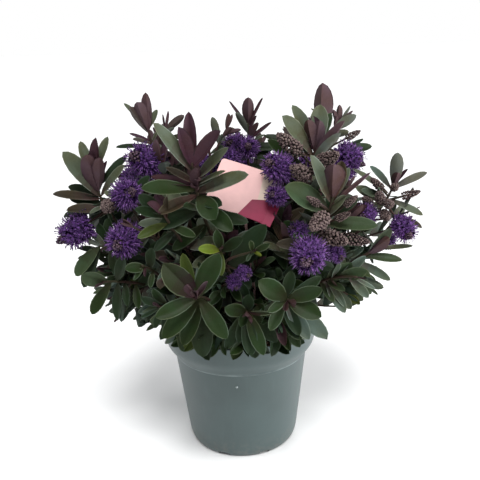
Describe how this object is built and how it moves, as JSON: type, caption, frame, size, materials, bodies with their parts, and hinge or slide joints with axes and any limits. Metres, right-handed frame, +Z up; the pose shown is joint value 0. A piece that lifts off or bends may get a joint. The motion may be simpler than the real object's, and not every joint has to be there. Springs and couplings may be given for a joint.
{
  "type": "potted hebe shrub",
  "caption": "Low evergreen shrub with paired leaves, maroon shoot tips and violet flower spikes, in a round tapered nursery pot with a blank plant label.",
  "frame": {"origin": "centre of the pot's flat underside, on the surface it stands on", "axes": "+Z up along the pot's axis, -Y to the front where the label faces, +X to the right as seen from the front"},
  "size_m": [0.3042, 0.2869, 0.3087],
  "materials": {
    "pot": "semi-matte grey-green moulded plastic",
    "potting_mix": "rough dark brown peat and bark mix",
    "bark": "grey-brown bark",
    "foliage": "leathery dark green leaves, maroon young leaves, violet flowers",
    "label": "plain pale pink card-thin plastic"
  },
  "bodies": {
    "root": {"pot": "pot", "potting_mix": "potting_mix", "woody_foot": "bark", "plant_label": "label", "bough_back_right_skirt": "bark", "bough_back_skirt_right": "bark", "bough_back_skirt_left": "bark", "bough_back_left_skirt": "bark", "bough_left_side": "bark", "bough_left_skirt": "bark", "bough_left_front_skirt": "bark", "bough_low_left_skirt": "bark", "bough_front_left_skirt": "bark", "bough_front_skirt": "bark", "bough_front_right_skirt": "bark", "bough_right_skirt": "bark", "bough_right_low": "bark", "bough_far_right": "bark", "bough_back_right": "bark", "bough_back_middle": "bark", "bough_back_left": "bark", "bough_left_crest": "bark", "bough_left_inner": "bark", "bough_left_front": "bark", "bough_front_middle": "bark", "bough_right_front": "bark", "bough_top_right": "bark", "bough_back_crest": "bark", "bough_crown_heart": "bark", "bough_top_left": "bark", "bough_front_crest": "bark", "bough_right_inner": "bark", "shoots_left_crest": "foliage", "shoots_left_inner": "foliage", "shoots_top_left": "foliage", "shoots_front_crest": "foliage", "shoots_back_crest": "foliage", "shoots_crown_heart": "foliage", "shoots_top_right": "foliage", "shoots_right_inner": "foliage", "shoots_right_front": "foliage", "shoots_far_right": "foliage", "shoots_right_low": "foliage", "shoots_right_skirt": "foliage", "shoots_front_right_skirt": "foliage", "shoots_front_skirt": "foliage", "shoots_front_left_skirt": "foliage", "shoots_left_front_skirt": "foliage", "shoots_low_left_skirt": "foliage", "shoots_left_skirt": "foliage", "shoots_left_side": "foliage", "shoots_front_middle": "foliage", "shoots_left_front": "foliage", "shoots_back_right_skirt": "foliage", "shoots_back_skirt_right": "foliage", "shoots_back_skirt_left": "foliage", "shoots_back_left_skirt": "foliage", "shoots_back_right": "foliage", "shoots_back_middle": "foliage", "shoots_back_left": "foliage"}
  },
  "joints": []
}
